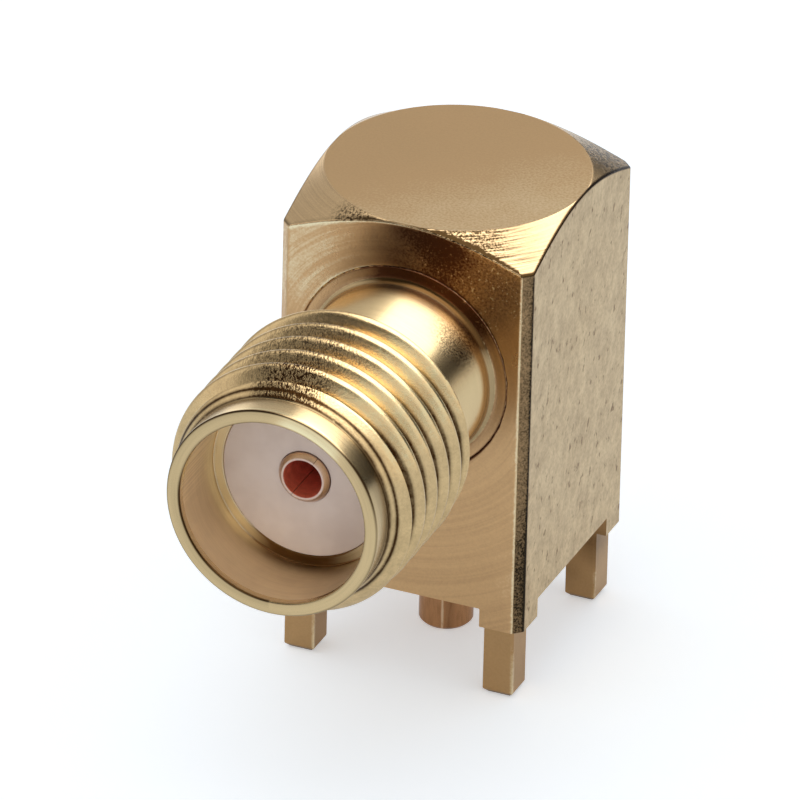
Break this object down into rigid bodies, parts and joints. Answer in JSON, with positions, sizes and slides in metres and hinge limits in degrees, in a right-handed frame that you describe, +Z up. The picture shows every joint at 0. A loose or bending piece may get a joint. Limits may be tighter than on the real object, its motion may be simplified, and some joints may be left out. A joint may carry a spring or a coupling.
{
  "type": "right-angle board coaxial jack",
  "caption": "Gold-plated right-angle coaxial jack for a circuit board: a square block on standoffs and legs, with a threaded barrel, insulator and slotted socket.",
  "frame": {"origin": "axis of the signal pin, on the surface of the board that the standoffs stand on", "axes": "+Z up from the board, -Y along the barrel's axis out of its mouth"},
  "size_m": [0.0064, 0.0141, 0.0121],
  "materials": {
    "gold_plate": "satin gold plate over machined brass",
    "contact_plate": "smooth gold plate over turned copper alloy",
    "insulator": "white turned PTFE"
  },
  "bodies": {
    "root": {"body": "gold_plate", "barrel": "gold_plate", "front_insulator": "insulator", "centre_contact": "contact_plate", "pin_insulator": "insulator", "signal_pin": "contact_plate"}
  },
  "joints": []
}
